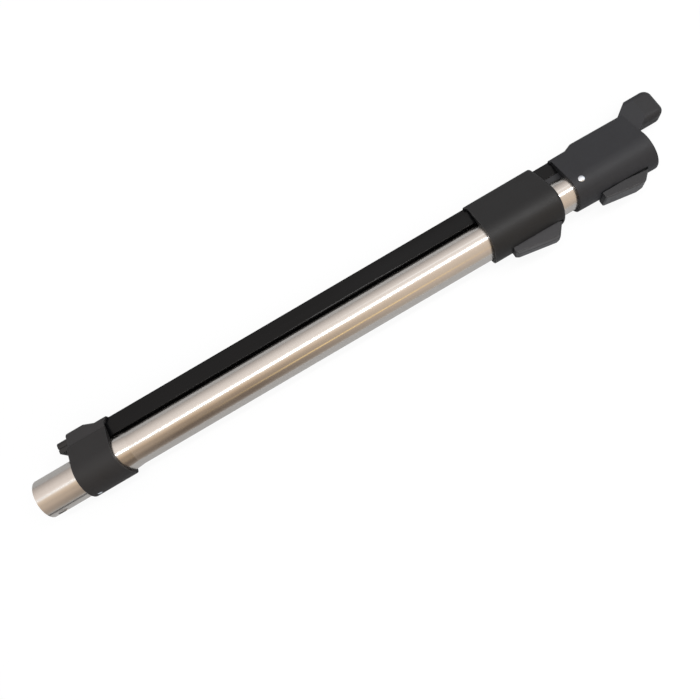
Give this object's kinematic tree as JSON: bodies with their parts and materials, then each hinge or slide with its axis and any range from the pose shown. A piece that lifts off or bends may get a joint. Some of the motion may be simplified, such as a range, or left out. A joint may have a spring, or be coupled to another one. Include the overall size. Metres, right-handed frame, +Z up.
{
  "type": "electric vacuum wand",
  "caption": "Telescopic steel vacuum wand with a lead conduit along its top, a plug at the floor tool's end, a socket at the handle's end and rocker latches.",
  "frame": {"origin": "on the wand's axis, in the plane of the lower mouth that takes the floor tool", "axes": "+X along the wand from the floor tool's end to the handle's end; +Z up from the surface it lies on; the conduit is on the +Y side and 17 degrees below the horizontal"},
  "size_m": [0.6623, 0.0803, 0.0434],
  "materials": {
    "tube_steel": "bright, drawn along its length",
    "grey_plastic": "dark grey, fine grain",
    "black_plastic": "black, smooth",
    "pale_plastic": "slippery, off-white",
    "rivet_chrome": "bright",
    "contact_brass": "turned",
    "lead_rubber": "soft, dull",
    "pin_steel": "plain ground"
  },
  "bodies": {
    "outer_wand": {"outer_tube": "tube_steel", "nozzle_collar": "grey_plastic", "plug_cover": "grey_plastic", "nozzle_plug": "black_plastic", "plug_contacts": "contact_brass", "collar_rivet": "rivet_chrome", "outer_conduit": "black_plastic", "coiled_lead": "lead_rubber", "clamp_sleeve": "grey_plastic", "guide_bush": "pale_plastic", "wiper_seal": "lead_rubber", "latch_hinge_pin": "pin_steel", "latch_spring_coil": "pin_steel"},
    "inner_wand": {"inner_tube": "tube_steel", "slide_ring": "pale_plastic", "inner_conduit": "black_plastic", "handle_coupling": "grey_plastic", "coupling_rivets": "rivet_chrome", "mouth_seal": "lead_rubber", "socket_housing": "grey_plastic", "socket_pins": "contact_brass", "inner_lead": "lead_rubber", "catch_hinge_pin": "pin_steel", "catch_spring_coil": "pin_steel"},
    "slide_latch": {"latch_lever": "grey_plastic"},
    "handle_catch": {"catch_lever": "grey_plastic"}
  },
  "joints": [
    {"name": "tube_slide", "type": "slide", "parent": "outer_wand", "child": "inner_wand", "axis": [1, 0, 0], "range_m": [0, 0.32], "deforming": ["coiled_lead"]},
    {"name": "latch_press", "type": "hinge", "parent": "outer_wand", "child": "slide_latch", "pos_m": [0.502, -0.02343, 0.00716], "axis": [0, 0.2924, 0.9563], "range_deg": [0, 5], "stiffness_Nm_per_rad": 0.3, "springref_deg": -8.59, "deforming": ["latch_spring_coil"]},
    {"name": "catch_press", "type": "hinge", "parent": "inner_wand", "child": "handle_catch", "pos_m": [0.594, -0.02133, 0.00652], "axis": [0, 0.2924, 0.9563], "range_deg": [0, 5], "stiffness_Nm_per_rad": 0.3, "springref_deg": -8.59, "deforming": ["catch_spring_coil"]}
  ]
}
